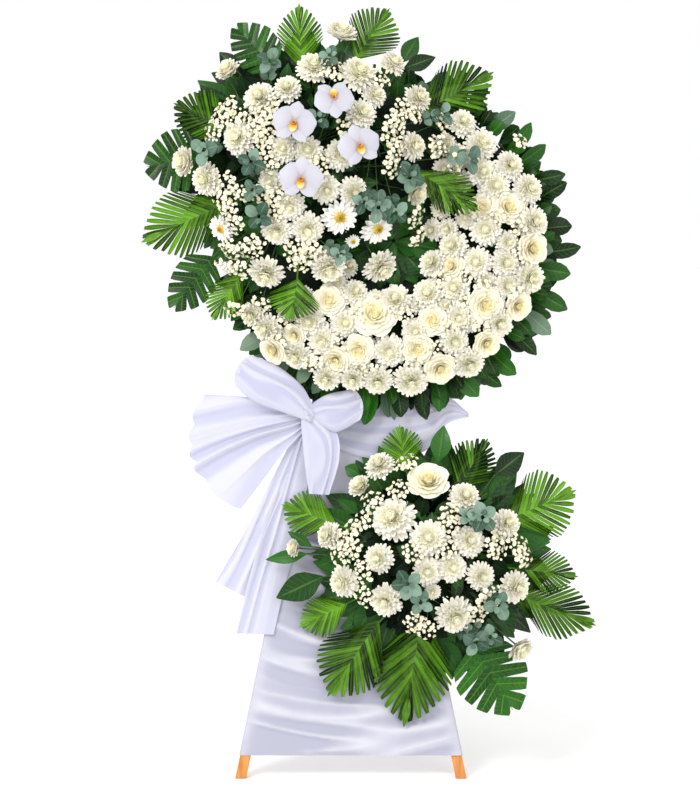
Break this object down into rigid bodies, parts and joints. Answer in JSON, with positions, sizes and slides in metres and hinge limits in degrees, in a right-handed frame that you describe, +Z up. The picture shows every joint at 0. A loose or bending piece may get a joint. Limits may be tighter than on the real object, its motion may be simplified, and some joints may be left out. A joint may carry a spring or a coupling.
{
  "type": "standing funeral wreath",
  "caption": "Round leaf-rimmed flower wreath with corner sprays and a cloth bow, tilted back on a cloth-wrapped wooden tripod stand; stands on the floor as a tribute.",
  "frame": {"origin": "middle of the bounding box at floor level", "axes": "+Z up from the floor, front of the wreath towards -Y, +X to the viewer's right when facing the front"},
  "size_m": [0.933, 0.6854, 1.5549],
  "materials": {
    "wood": "planed softwood with a clear satin finish",
    "stand_cloth": "matte thin white cloth with drape wrinkles",
    "bow_cloth": "soft white non-woven ribbon, slightly sheer",
    "base_board": "dark green moulded backing ring",
    "tray": "dark green moulded tray",
    "foam": "damp dark green flower foam",
    "orchid_petal": "fresh white orchid petals with yellow and orange lips",
    "bloom_petal": "fresh white and cream petals",
    "eucalyptus_leaf": "matte grey-green leaf with a bloom",
    "palm_leaf": "satin mid-green leaf",
    "split_leaf": "glossy mid-green leaf",
    "rim_leaf": "waxy dark green leaf",
    "dark_leaf": "waxy dark green leaf"
  },
  "bodies": {
    "root": {"apex_block": "wood", "bow_fan": "bow_cloth", "bow_loops": "bow_cloth", "bow_tails": "bow_cloth", "front_leg_left": "wood", "front_leg_right": "wood", "lower_blooms_bottom": "bloom_petal", "lower_blooms_left": "bloom_petal", "lower_blooms_right": "bloom_petal", "lower_eucalyptus_left": "eucalyptus_leaf", "lower_eucalyptus_right": "eucalyptus_leaf", "lower_foam": "foam", "lower_leaf_collar": "dark_leaf", "lower_palm_bottom": "palm_leaf", "lower_palm_bottom_left": "palm_leaf", "lower_palm_left_high": "palm_leaf", "lower_palm_left_low": "palm_leaf", "lower_palm_right": "palm_leaf", "lower_palm_right_high": "palm_leaf", "lower_palm_right_low": "palm_leaf", "lower_palm_top": "palm_leaf", "lower_palm_top_right": "palm_leaf", "lower_rail": "wood", "lower_split_leaf": "split_leaf", "lower_tray": "tray", "middle_leaves": "dark_leaf", "orchid_spray": "orchid_petal", "rear_leg": "wood", "ring_base": "base_board", "ring_blooms_bottom": "bloom_petal", "ring_blooms_lower_left": "bloom_petal", "ring_blooms_right": "bloom_petal", "ring_blooms_upper_right": "bloom_petal", "ring_foam": "foam", "ring_leaves_1": "rim_leaf", "ring_leaves_2": "rim_leaf", "ring_leaves_3": "rim_leaf", "ring_leaves_4": "rim_leaf", "sash": "bow_cloth", "stand_cloth": "stand_cloth", "upper_blooms_bottom": "bloom_petal", "upper_blooms_left": "bloom_petal", "upper_blooms_right": "bloom_petal", "upper_blooms_top": "bloom_petal", "upper_eucalyptus_left": "eucalyptus_leaf", "upper_eucalyptus_right": "eucalyptus_leaf", "upper_eucalyptus_top": "eucalyptus_leaf", "upper_foam": "foam", "upper_leaf_collar": "dark_leaf", "upper_palm_bottom": "palm_leaf", "upper_palm_bottom_left": "palm_leaf", "upper_palm_inner": "palm_leaf", "upper_palm_left_high": "palm_leaf", "upper_palm_left_low": "palm_leaf", "upper_palm_right": "palm_leaf", "upper_palm_top": "palm_leaf", "upper_palm_top_right": "palm_leaf", "upper_split_leaf_left": "split_leaf", "upper_split_leaf_low": "split_leaf", "upper_split_leaf_top": "split_leaf"}
  },
  "joints": []
}
